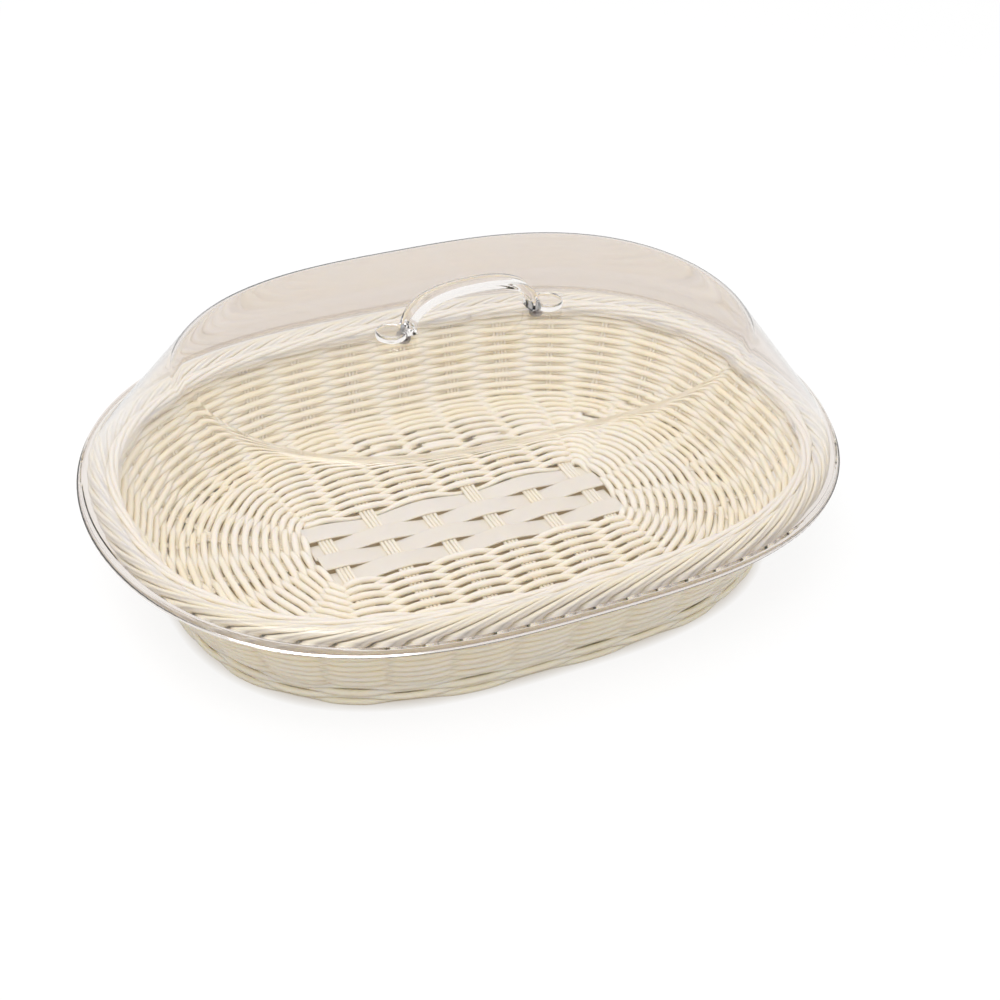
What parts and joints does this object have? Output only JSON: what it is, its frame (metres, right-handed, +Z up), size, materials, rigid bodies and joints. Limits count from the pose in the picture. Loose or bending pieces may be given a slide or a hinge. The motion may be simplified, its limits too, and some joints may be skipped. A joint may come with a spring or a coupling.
{
  "type": "food storage basket",
  "caption": "Oval woven basket with a rope rim and a foot braid, under a clear dome cover with a strap handle that lifts straight off.",
  "frame": {"origin": "on the surface that the basket stands on, under the middle of the basket", "axes": "+Z up, +X along the basket, the handle lies along X; the two long sides face -Y and +Y"},
  "size_m": [0.4198, 0.3184, 0.1641],
  "materials": {
    "cane": "pale peeled cane strands, satin, with faint grain along each strand",
    "flat_strip": "flat shaved cane strips, whiter and smoother than the strands",
    "clear_plastic": "clear moulded plastic, polished, faintly warm",
    "screw_steel": "small plated steel screws"
  },
  "bodies": {
    "basket": {"base_strip_1": "flat_strip", "base_strip_2": "flat_strip", "base_strip_3": "flat_strip", "base_strip_4": "flat_strip", "cross_stake_1": "cane", "cross_stake_2": "cane", "cross_stake_3": "cane", "cross_stake_4": "cane", "cross_stake_5": "cane", "cross_stake_6": "cane", "end_stake_left_1": "cane", "end_stake_left_2": "cane", "end_stake_left_3": "cane", "end_stake_left_4": "cane", "end_stake_left_5": "cane", "end_stake_right_1": "cane", "end_stake_right_2": "cane", "end_stake_right_3": "cane", "end_stake_right_4": "cane", "end_stake_right_5": "cane", "base_weave": "cane", "wall_weave": "cane", "rim_border": "cane", "foot_border": "cane"},
    "cover": {"cover_dome": "clear_plastic", "handle": "clear_plastic", "handle_screw_left": "screw_steel", "handle_screw_right": "screw_steel"}
  },
  "joints": [
    {"name": "cover_lift", "type": "slide", "parent": "basket", "child": "cover", "axis": [0, 0, 1], "range_m": [0, 0.25]}
  ]
}
